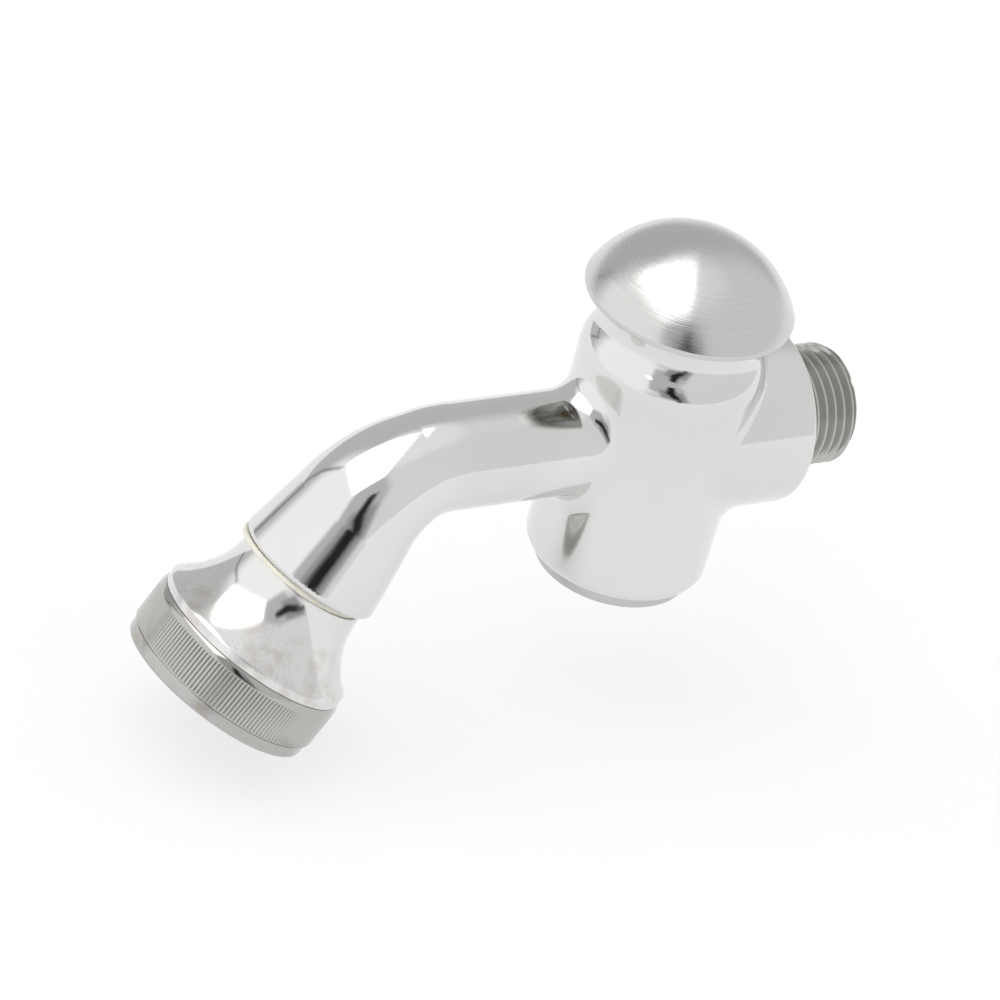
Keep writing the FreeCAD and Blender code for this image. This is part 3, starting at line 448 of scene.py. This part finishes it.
def make_thread(segments=192):
    """The inlet's threaded stub. Its rows of points follow the helix, so that the crests stay
    crisp, and the plain rows of its relief, end and bore close it."""
    root, mouth = THREAD_ROOT / 2, THREAD_MOUTH / 2
    flank = [root + (mouth - root) * share for share in (0, 0.25, 0.5, 0.75, 1)]
    phases = [0] + flank + [0.5] + [1 - phase for phase in reversed(flank)]
    per_turn = len(phases)
    turns = math.ceil((INLET_END - THREAD_RELIEF) / THREAD_PITCH) + 1
    relief = THREAD_RADIUS - THREAD_DEPTH - THREAD_RELIEF_EXTRA
    seat = INLET_END - STRAINER_SEAT_DEPTH
    plain_start = [(INLET_BORE_RADIUS, STUB_BASE), (relief, STUB_BASE), (relief, THREAD_RELIEF)]
    plain_end = [(STRAINER_SEAT_RADIUS, INLET_END), (STRAINER_SEAT_RADIUS, seat),
                 (INLET_BORE_RADIUS, seat), (INLET_BORE_RADIUS, STUB_BASE)]
    mesh = bmesh.new()

    def row_of(place):
        return [mesh.verts.new(ON_INLET @ Vector(place(segment / segments))) for segment in range(segments)]

    def plain(radius, height):
        return lambda turn: circle_point(radius, turn, height)

    def helical(row):
        def place(turn):
            whole, part = divmod(row, per_turn)
            height = THREAD_RELIEF + (whole + phases[part] + turn) * THREAD_PITCH
            height = min(max(height, THREAD_RELIEF), INLET_END)
            return circle_point(thread_radius(turn, height), turn, height)
        return place

    def close(low, high, low_shifted, high_shifted):
        for segment in range(segments - 1):
            mesh.faces.new((low[segment], low[segment + 1], high[segment + 1], high[segment]))
        mesh.faces.new((low[-1], low_shifted[0], high_shifted[0], high[-1]))

    first = [row_of(plain(*corner)) for corner in plain_start]
    wound = [row_of(helical(row)) for row in range(-per_turn, turns * per_turn)]
    last = [row_of(plain(*corner)) for corner in plain_end]
    for low, high in zip(first, first[1:]):
        close(low, high, low, high)
    for low, high in zip(last, last[1:]):
        close(low, high, low, high)
    for number in range(len(wound) - 1 - per_turn):
        close(wound[number], wound[number + 1], wound[number + per_turn], wound[number + 1 + per_turn])
    bottom = row_of(lambda turn: circle_point(thread_radius(turn, THREAD_RELIEF), turn, THREAD_RELIEF))
    top = row_of(lambda turn: circle_point(thread_radius(turn, INLET_END), turn, INLET_END))
    close(first[-1], bottom, first[-1], bottom)
    close(top, last[0], top, last[0])
    bmesh.ops.remove_doubles(mesh, verts=mesh.verts, dist=1e-7)
    bmesh.ops.dissolve_degenerate(mesh, edges=mesh.edges, dist=1e-7)
    return finished("inlet_thread", mesh, sharp_degrees=20)


def make_button():
    """The hollow mushroom cap, its rim rounded a little."""
    crown = button_high.z - button_low.z
    inner_top = crown - BUTTON_WALL
    outside = crown_points((BUTTON_RADIUS, BUTTON_BAND), crown, steps=80)
    inside = crown_points((BUTTON_INNER_RADIUS, BUTTON_INNER_STEP), inner_top, steps=40)
    inside = [point for point in inside if point[0] > HUB_RADIUS]
    hub, socket = HUB_LEVEL - button_low.z, HUB_BORE_TOP - button_low.z
    hub_meets = inside[-1][1]
    rim = rounded([
        (BUTTON_INNER_RADIUS, BUTTON_INNER_STEP),
        (BUTTON_INNER_RADIUS, 0, 0.2),
        (BUTTON_RADIUS, 0, 0.25),
        (BUTTON_RADIUS, BUTTON_BAND),
    ])
    outline = [(0, socket), (HUB_BORE_RADIUS, socket), (HUB_BORE_RADIUS, hub), (HUB_RADIUS, hub),
               (HUB_RADIUS, hub_meets)]
    outline += inside[::-1][1:-1] + [tuple(p) for p in rim] + outside[1:]
    place = ON_VALVE @ Matrix.Translation((0, 0, button_low.z))
    return turned("button_dome", outline, place, segments=320)


def make_plug():
    """The bottom plug, cupped inside for the return spring."""
    top = PLUG_FLANGE_HEIGHT + PLUG_THREAD_LENGTH
    outline = rounded([
        (0, PLUG_FLOOR),
        (PLUG_CUP_RADIUS, PLUG_FLOOR),
        (PLUG_CUP_RADIUS, top),
        (PLUG_THREAD_RADIUS, top, 0.3),
        (PLUG_THREAD_RADIUS, PLUG_FLANGE_HEIGHT),
        (PLUG_FLANGE_RADIUS, PLUG_FLANGE_HEIGHT, 0.2),
        (PLUG_FLANGE_RADIUS, 0, PLUG_EDGE_ROUND),
        (0, 0),
    ])
    return turned("drain_plug", outline, ON_VALVE @ Matrix.Translation((0, 0, PLUG_LOW)))


def make_spring(steps=240, sides=20):
    """The open coil under the valve, between the heights that the frame gives it."""
    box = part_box("return_spring")
    low, high = box[0].z / MM + SPRING_WIRE, box[1].z / MM - SPRING_WIRE
    mesh = bmesh.new()
    rows = []
    for step in range(steps + 1):
        turn, height = SPRING_TURNS * step / steps, low + (high - low) * step / steps
        around = (circle_point(SPRING_WIRE, side / sides, 0) for side in range(sides))
        rows.append([mesh.verts.new(ON_VALVE @ circle_point(SPRING_RADIUS + spot.x, turn, height + spot.y))
                     for spot in around])
    for before, after in zip(rows, rows[1:]):
        for side in range(sides):
            other = (side + 1) % sides
            mesh.faces.new((before[side], before[other], after[other], after[side]))
    mesh.faces.new(rows[0])
    mesh.faces.new(rows[-1])
    return finished("return_coil", mesh)


def make_washer():
    """The thin nylon washer between spout and bell, where the frame holds it."""
    low, high = (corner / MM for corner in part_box("head_washer"))
    middle = (low + high) / 2
    centred = OUTLET_START + OUTLET_DIRECTION * WASHER_HEIGHT / 2
    outline = rounded([
        (WASHER_INNER, WASHER_HEIGHT / 2),
        (WASHER_INNER, 0),
        (WASHER_OUTER, 0, 0.25),
        (WASHER_OUTER, WASHER_HEIGHT, 0.25),
        (WASHER_INNER, WASHER_HEIGHT),
        (WASHER_INNER, WASHER_HEIGHT / 2),
    ])
    return turned("outlet_washer", outline[:-1], Matrix.Translation((middle - centred) * MM) @ ON_OUTLET)


def make_bell():
    """The flared bell, with the stub that screws into the spout and the thread for its ring."""
    stub = -BELL_STUB_LENGTH
    flare = arc_points((BELL_TOP_RADIUS, WASHER_HEIGHT), (BELL_FLARE_END_RADIUS, BELL_FLARE_END),
                       BELL_FLARE, -1, steps=60)
    top = rounded([(BELL_STUB_RADIUS, stub), (BELL_STUB_RADIUS, WASHER_HEIGHT),
                   (BELL_TOP_RADIUS, WASHER_HEIGHT, 0.25), flare[3]])
    shoulder = rounded([
        flare[-2],
        (BELL_SHOULDER_RADIUS, BELL_SHOULDER_START, 0.3),
        (BELL_SHOULDER_RADIUS, BELL_SHOULDER_END, 0.2),
        (BELL_THREAD_RADIUS, BELL_SHOULDER_END),
        (BELL_THREAD_RADIUS, BELL_THREAD_END),
        (BELL_STEP_RADIUS, BELL_THREAD_END),
        (BELL_STEP_RADIUS, BELL_STEP),
        (BELL_INNER_RADIUS, BELL_STEP),
        (BELL_INNER_RADIUS, BELL_INNER_START),
        (BELL_STUB_BORE, BELL_BORE_END),
        (BELL_STUB_BORE, stub),
    ])
    return turned("flared_bell", top + flare[4:-2] + shoulder, ON_OUTLET, segments=320)


def knurl(radius, height, segment):
    """V grooves along the ring, which run out at their upper end."""
    if not KNURL_START <= height <= KNURL_END or radius < RING_RADIUS - 0.01:
        return radius
    share = min((height - KNURL_START) / KNURL_RUN_OUT, 1)
    in_groove = segment % KNURL_STEPS == 0
    return radius - KNURL_DEPTH * share * in_groove


def make_ring():
    """The knurled ring that holds the rose, with its plain rim."""
    outline = rounded([
        (RING_BORE_RADIUS, BELL_SHOULDER_END),
        (RING_TOP_RADIUS, BELL_SHOULDER_END, 0.15),
        (RING_RADIUS, RING_BEVEL_END),
        (RING_RADIUS, KNURL_START),
        (RING_RADIUS, KNURL_START + KNURL_RUN_OUT),
        (RING_RADIUS, KNURL_END),
        (RING_GROOVE_RADIUS, KNURL_END),
        (RING_GROOVE_RADIUS, RING_GROOVE_END),
        (RING_RIM_RADIUS, RING_GROOVE_END, 0.12),
        (RING_RIM_RADIUS, RING_END, RING_EDGE_ROUND),
        (RING_LIP_RADIUS, RING_END, 0.3),
        (RING_LIP_RADIUS, RING_LIP_START),
        (RING_BORE_RADIUS, RING_LIP_START),
    ])
    segments = KNURL_RIBS * KNURL_STEPS
    return turned("spray_ring", outline, ON_OUTLET, segments=segments, shaped=knurl)


casting = make_casting()
thread = make_thread()
dome = make_button()
plug = make_plug()
spring = make_spring()
washer = make_washer()
bell = make_bell()
ring = make_ring()
for piece, body, node in (
    (casting, "tap", "tap_body"),
    (thread, "tap", "tap_body"),
    (dome, "button", "button_cap"),
    (plug, "tap", "bottom_plug"),
    (spring, "tap", "return_spring"),
    (washer, "tap", "head_washer"),
    (bell, "tap", "spray_bell"),
    (ring, "ring", "knurled_ring"),
):
    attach(piece, body)
    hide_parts(node)


# ---------------------------------------------------------------- materials
UP = Vector((0, 0, 1))
# The ring's chrome colour is darker than the rest: painted shade, standing in for the shade between the
# knurl's ribs.
CHROME, THREAD_CHROME, RING_CHROME_PAINTED_SHADE = (0.725, 0.725, 0.715), (0.50, 0.50, 0.48), (0.46, 0.455, 0.44)
CHROME_WAVE = 0.06
BAND_FADE = 0.1

# water stains: where they start and end along the outlet axis, and how strong they are
BELL_STAINS, BELL_STAIN_COLOURS = (6.0, 15.3, 0.5), ((0.42, 0.34, 0.27), (0.50, 0.48, 0.50))
RING_STAINS, RING_STAIN_COLOURS = (22.5, 26.0, 0.6), ((0.40, 0.34, 0.28), (0.36, 0.40, 0.45))


class Graph:
    """A small helper that adds nodes to one shader tree and wires them."""

    def __init__(self, tree):
        self.tree = tree

    def add(self, kind, values=(), **settings):
        """A node of that kind. values are (input, value or output socket) pairs."""
        made = self.tree.nodes.new("ShaderNode" + kind)
        for name, value in settings.items():
            setattr(made, name, value)
        for key, value in values:
            if isinstance(value, bpy.types.NodeSocket):
                self.tree.links.new(value, made.inputs[key])
            else:
                made.inputs[key].default_value = value
        return made

    def math(self, operation, first, second=0.0):
        return self.add("Math", ((0, first), (1, second)), operation=operation).outputs[0]

    def ramped(self, value, low, high, to_low=0.0, to_high=1.0):
        """value turned smoothly from to_low at low into to_high at high."""
        values = (("Value", value), ("From Min", low), ("From Max", high),
                  ("To Min", to_low), ("To Max", to_high))
        return self.add("MapRange", values, interpolation_type="SMOOTHSTEP").outputs[0]

    def dot(self, vector, other):
        return self.add("VectorMath", ((0, vector), (1, other)), operation="DOT_PRODUCT").outputs["Value"]

    def noise(self, place, scale, detail=2.0, roughness=0.5):
        """Noise whose features are about 1 / scale metres across."""
        values = (("Vector", place), ("Scale", scale), ("Detail", detail), ("Roughness", roughness))
        return self.add("TexNoise", values).outputs["Fac"]

    def mixed(self, share, first, second):
        """The colour that goes from first to second with share."""
        node = self.add("Mix", ((0, share),), data_type="RGBA")
        for socket, colour in ((node.inputs[6], first), (node.inputs[7], second)):
            if isinstance(colour, bpy.types.NodeSocket):
                self.tree.links.new(colour, socket)
            else:
                socket.default_value = (*colour, 1)
        return node.outputs[2]

    def bump(self, height, strength, distance, normal=None):
        values = [("Height", height), ("Strength", strength), ("Distance", distance)]
        if normal:
            values.append(("Normal", normal))
        return self.add("Bump", values).outputs["Normal"]


def new_material(name):
    """(material, its Graph, its Principled shader, the row-frame place of the shaded point)."""
    material = bpy.data.materials.new(name)
    material.use_nodes = True
    graph = Graph(material.node_tree)
    shader = material.node_tree.nodes["Principled BSDF"]
    place = graph.add("TexCoord").outputs["Object"]
    return material, graph, shader, place


def finish_material(graph, shader, colour, metallic, roughness, normal):
    """Sets each of the shader's inputs to a value or wires it to a socket."""
    links = graph.tree.links
    inputs = {"Base Color": colour, "Metallic": metallic, "Roughness": roughness, "Normal": normal}
    for key, value in inputs.items():
        if isinstance(value, bpy.types.NodeSocket):
            links.new(value, shader.inputs[key])
        else:
            shader.inputs[key].default_value = (*value, 1) if key == "Base Color" else value


def axis_distance(graph, place, origin, direction):
    """Distance along an axis, in mm, of the shaded point."""
    offset = graph.math("SUBTRACT", graph.dot(place, tuple(direction)), Vector(origin).dot(direction) * MM)
    return graph.math("DIVIDE", offset, MM)


def polished(graph, place, low, high):
    """(roughness, normal) of plate with faint haze, buffing waves and hair scratches."""
    haze = graph.noise(place, 90, 4.0, 0.65)
    roughness = graph.ramped(haze, 0.35, 0.7, low, high)
    waves = graph.bump(graph.noise(place, 130, 1.0), CHROME_WAVE, 0.0004)
    stretched = graph.add("VectorMath", ((0, place), (1, (1.0, 14.0, 3.0))), operation="MULTIPLY").outputs[0]
    return roughness, graph.bump(graph.noise(stretched, 900, 3.0), 0.025, 0.0002, waves)


def chrome(name, colour=CHROME, low=0.05, high=0.1):
    """Polished plate, a little uneven in tint."""
    material, graph, shader, place = new_material(name)
    roughness, normal = polished(graph, place, low, high)
    tint = graph.noise(place, 35, 3.0)
    shade = graph.mixed(graph.ramped(tint, 0.35, 0.65), colour, [channel * 0.955 for channel in colour])
    finish_material(graph, shader, shade, 1.0, roughness, normal)
    return material


def brushed_chrome():
    """The dome's fine rings round its axis, and the polished band at its rim."""
    material, graph, shader, place = new_material("dome_chrome")
    aside = graph.add("VectorMath", ((0, place), (1, (0, VALVE_Y * MM, 0))), operation="SUBTRACT").outputs[0]
    flat = graph.add("VectorMath", ((0, aside), (1, (1, 1, 0))), operation="MULTIPLY").outputs[0]
    radius = graph.add("VectorMath", ((0, flat),), operation="LENGTH").outputs["Value"]
    level = axis_distance(graph, place, (0, 0, button_low.z), UP)
    band = graph.ramped(level, BUTTON_BAND - BAND_FADE, BUTTON_BAND + BAND_FADE)
    line = graph.add("CombineXYZ", (("X", radius), ("Z", 0.37))).outputs[0]
    rings = graph.noise(line, 5200, 3.0, 0.7)
    coarse = graph.noise(line, 900, 2.0)
    height = graph.math("ADD", graph.math("MULTIPLY", rings, band), graph.math("MULTIPLY", coarse, 0.6))
    haze = graph.noise(place, 70, 4.0, 0.6)
    roughness = graph.math("MULTIPLY", graph.ramped(haze, 0.35, 0.7, 0.13, 0.18),
                           graph.ramped(band, 0.0, 1.0, 0.5, 1.0))
    normal = graph.bump(height, 0.32, 0.00012)
    shade = graph.mixed(graph.ramped(rings, 0.3, 0.7), (0.64, 0.64, 0.625), (0.58, 0.58, 0.57))
    finish_material(graph, shader, shade, 1.0, roughness, normal)
    shader.inputs["Anisotropic"].default_value = 0.55
    tangent = graph.add("Tangent", direction_type="RADIAL", axis="Z").outputs[0]
    graph.tree.links.new(tangent, shader.inputs["Tangent"])
    return material


def stained_chrome(name, plain, start, end, amount, colours):
    """Chrome with water stains between two steps of the spray head, as specks and thin films."""
    material, graph, shader, place = new_material(name)
    roughness, normal = polished(graph, place, 0.07, 0.13)
    step = axis_distance(graph, place, OUTLET_START, OUTLET_DIRECTION)
    along = graph.math("MULTIPLY", graph.ramped(step, start, start + 2.5), graph.ramped(step, end + 0.8, end))
    film = graph.ramped(graph.noise(place, 260, 4.0, 0.6), 0.42, 0.66)
    specks = graph.ramped(graph.noise(place, 1900, 3.0, 0.7), 0.56, 0.66)
    patches = graph.math("MAXIMUM", graph.math("MULTIPLY", film, 0.75), graph.math("MULTIPLY", specks, 0.8))
    share = graph.math("MULTIPLY", graph.math("MULTIPLY", patches, along), amount)
    hue = graph.ramped(graph.noise(place, 420, 2.0), 0.4, 0.6)
    stain = graph.mixed(hue, colours[0], colours[1])
    shade = graph.mixed(share, plain, stain)
    rough = graph.math("ADD", roughness, graph.math("MULTIPLY", share, 0.2))
    finish_material(graph, shader, shade, 1.0, rough, normal)
    return material


def grained(name, colour, metallic, low, high, scale, strength, lift=0.82, distance=0.0001):
    """A dull or moulded material with mottling and a fine grain."""
    material, graph, shader, place = new_material(name)
    mottle = graph.ramped(graph.noise(place, 120, 4.0, 0.6), 0.3, 0.7)
    shade = graph.mixed(mottle, colour, [channel * lift for channel in colour])
    grain = graph.noise(place, scale, 3.0, 0.6)
    roughness = graph.ramped(grain, 0.3, 0.7, low, high)
    finish_material(graph, shader, shade, metallic, roughness, graph.bump(grain, strength, distance))
    return material


def make_materials():
    """One material for each of the record's slots, by the slot's name."""
    nylon = grained("nylon", (0.83, 0.80, 0.71), 0.0, 0.35, 0.5, 1500, 0.08)
    shader = nylon.node_tree.nodes["Principled BSDF"]
    shader.inputs["Subsurface Weight"].default_value = 0.3
    shader.inputs["Subsurface Radius"].default_value = (0.0006, 0.0005, 0.0004)
    return {
        "plated_brass": chrome("chrome"),
        "plated_brass_brushed": brushed_chrome(),
        "plated_brass_satin": grained("nickel", (0.56, 0.56, 0.55), 1.0, 0.2, 0.3, 2200, 0.08, 0.93),
        "brass": grained("brass", (0.74, 0.55, 0.27), 1.0, 0.2, 0.32, 1800, 0.08),
        "stainless": grained("stainless", (0.60, 0.60, 0.60), 1.0, 0.16, 0.26, 2600, 0.06, 0.92),
        "spring_steel": grained("spring_wire", (0.52, 0.52, 0.53), 1.0, 0.2, 0.3, 3000, 0.05, 0.9),
        "black_rubber": grained("rubber", (0.022, 0.022, 0.023), 0.0, 0.5, 0.65, 1400, 0.15, 1.3),
        "white_nylon": nylon,
        "fibre": grained("fibre", (0.36, 0.085, 0.05), 0.0, 0.6, 0.8, 1700, 0.3, 0.8),
    }


def wear(piece, material):
    """Gives a piece its one material."""
    piece.data.materials.clear()
    piece.data.materials.append(material)


slots = make_materials()
for part in frame["record"]["subparts"]:
    for place in frame["nodes"][part["node"]].material_slots:
        place.material = slots[part["material_slot"]]
stained_bell = stained_chrome("bell_chrome", CHROME, *BELL_STAINS, BELL_STAIN_COLOURS)
# The ring's material: real water stains on a chrome base that is darkened as painted shade.
ring_stains_and_painted_shade = stained_chrome("ring_chrome_painted_shade", RING_CHROME_PAINTED_SHADE, *RING_STAINS, RING_STAIN_COLOURS)
for piece, material, slot in (
    (casting, slots["plated_brass"], "plated_brass"),
    (thread, chrome("thread_chrome", THREAD_CHROME, 0.12, 0.22), "plated_brass"),
    (dome, slots["plated_brass_brushed"], "plated_brass_brushed"),
    (plug, slots["plated_brass_satin"], "plated_brass_satin"),
    (spring, slots["spring_steel"], "spring_steel"),
    (washer, slots["white_nylon"], "white_nylon"),
    (bell, stained_bell, "plated_brass"),
    (ring, ring_stains_and_painted_shade, "plated_brass"),
):
    wear(piece, material)
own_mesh(spring)


# ---------------------------------------------------------------- studio
ROOM_LEVEL = 0.62
FLOOR_GLOW, FLOOR_GAP, FLOOR_REACH = 0.7, 3.1, 6.0


def toward(azimuth, elevation):
    """The direction from the object at an azimuth and elevation in degrees."""
    turn, rise = math.radians(azimuth), math.radians(elevation)
    return Vector((math.sin(turn) * math.cos(rise), -math.cos(turn) * math.cos(rise), math.sin(rise)))


def region(graph, direction, corners, softness):
    """1 inside a patch of sky between these (azimuth, elevation) corners, fading at its edges."""
    points = [toward(*corner) for corner in corners]
    middle = sum(points, Vector()).normalized()
    inside = 1.0
    for start, end in zip(points, points[1:] + points[:1]):
        normal = start.cross(end).normalized()
        if normal.dot(middle) < 0:
            normal = -normal
        side = graph.ramped(graph.dot(direction, tuple(normal)), -softness, softness)
        inside = graph.math("MULTIPLY", side, inside)
    return inside


def cap(graph, direction, azimuth, elevation, half_angle, softness):
    """1 within half_angle of a direction, fading out over softness."""
    level = math.cos(math.radians(half_angle))
    nearness = graph.dot(direction, tuple(toward(azimuth, elevation)))
    return graph.ramped(nearness, level - softness, level + softness)


def add_world():
    """A white room with one large softbox overhead, a dim side and narrow dark gaps."""
    world = bpy.data.worlds.new("studio")
    world.use_nodes = True
    bpy.context.scene.world = world
    graph = Graph(world.node_tree)
    direction = graph.add("TexCoord").outputs["Generated"]
    softbox = ((-47, 40), (-10, 47), (28, 40), (57, 54), (60, 85), (-120, 69))
    patches = [
        (cap(graph, direction, 118, 20, 78, 0.22), 0.86),
        (cap(graph, direction, -8, 22, 46, 0.14), 1.16),
        (cap(graph, direction, 0, 90, 28, 0.06), 1.0),
        (region(graph, direction, ((28, 47), (60, 54), (80, 34), (76, 8), (34, 16)), 0.05), 0.6),
        (region(graph, direction, ((46, 26), (50, 6), (84, 0), (77, 26)), 0.05), 0.37),
        (region(graph, direction, softbox, 0.012), 2.4),
        (region(graph, direction, ((56, 38), (66, 38), (67, 18), (55, 19)), 0.012), 0.02),
        (region(graph, direction, ((55, 20), (68, 20), (75, 8), (66, 6)), 0.012), 0.02),
        (region(graph, direction, ((67, 10), (74, 10), (80, -10), (74, -10)), 0.02), 0.1),
        (region(graph, direction, ((-43, 38), (-46, 38), (-61, 21), (-58, 21)), 0.008), 0.3),
        (region(graph, direction, ((-58, 23), (-61, 23), (-77, -8), (-74, -8)), 0.008), 0.3),
    ]
    level = ROOM_LEVEL
    for share, radiance in patches:
        level = graph.add("Mix", ((0, share), (2, level), (3, radiance)), data_type="FLOAT").outputs[0]
    background = world.node_tree.nodes["Background"]
    world.node_tree.links.new(level, background.inputs["Strength"])
    background.inputs["Color"].default_value = (1, 1, 1, 1)


def add_floor():
    """A pale floor, lit from within so that it stays white under the object. It lies low enough
    for the ring when it is unscrewed."""
    level = packed_bounds[0].z - FLOOR_GAP * MM
    corners = [(x * FLOOR_REACH, y * FLOOR_REACH, level) for x, y in ((-1, -1), (1, -1), (1, 1), (-1, 1))]
    floor = add_mesh("floor", corners, [(0, 1, 2, 3)])
    paint = grained("floor_paint", (0.26, 0.26, 0.26), 0.0, 0.8, 0.9, 60, 0.02, 0.99)
    shader = paint.node_tree.nodes["Principled BSDF"]
    shader.inputs["Emission Color"].default_value = (1, 1, 1, 1)
    shader.inputs["Emission Strength"].default_value = FLOOR_GLOW
    floor.data.materials.append(paint)


add_world()
add_floor()
bpy.context.scene.view_settings.view_transform = "Standard"


# ---------------------------------------------------------------- camera
CAMERA_TARGET = Vector((0, -50.7, -11.9))
CAMERA_DISTANCE, CAMERA_LENS, SENSOR = 883.8, 189.1, 36.0
CAMERA_AZIMUTH, CAMERA_ELEVATION, CAMERA_ROLL = math.radians(51.26), math.radians(33.7), math.radians(15.9)


def add_camera():
    """The camera, looking at its target from an azimuth and elevation, and rolled."""
    data = bpy.data.cameras.new("camera")
    data.lens, data.sensor_width = CAMERA_LENS, SENSOR
    data.clip_start, data.clip_end = 0.05, 20
    camera = bpy.data.objects.new("camera", data)
    bpy.context.scene.collection.objects.link(camera)
    back = Vector((
        math.sin(CAMERA_AZIMUTH) * math.cos(CAMERA_ELEVATION),
        -math.cos(CAMERA_AZIMUTH) * math.cos(CAMERA_ELEVATION),
        math.sin(CAMERA_ELEVATION),
    ))
    turn = (-back).to_track_quat("-Z", "Y").to_matrix().to_4x4()
    place = Matrix.Translation((CAMERA_TARGET + back * CAMERA_DISTANCE) * MM)
    camera.matrix_world = place @ turn @ Matrix.Rotation(CAMERA_ROLL, 4, "Z")
    bpy.context.scene.camera = camera


add_camera()
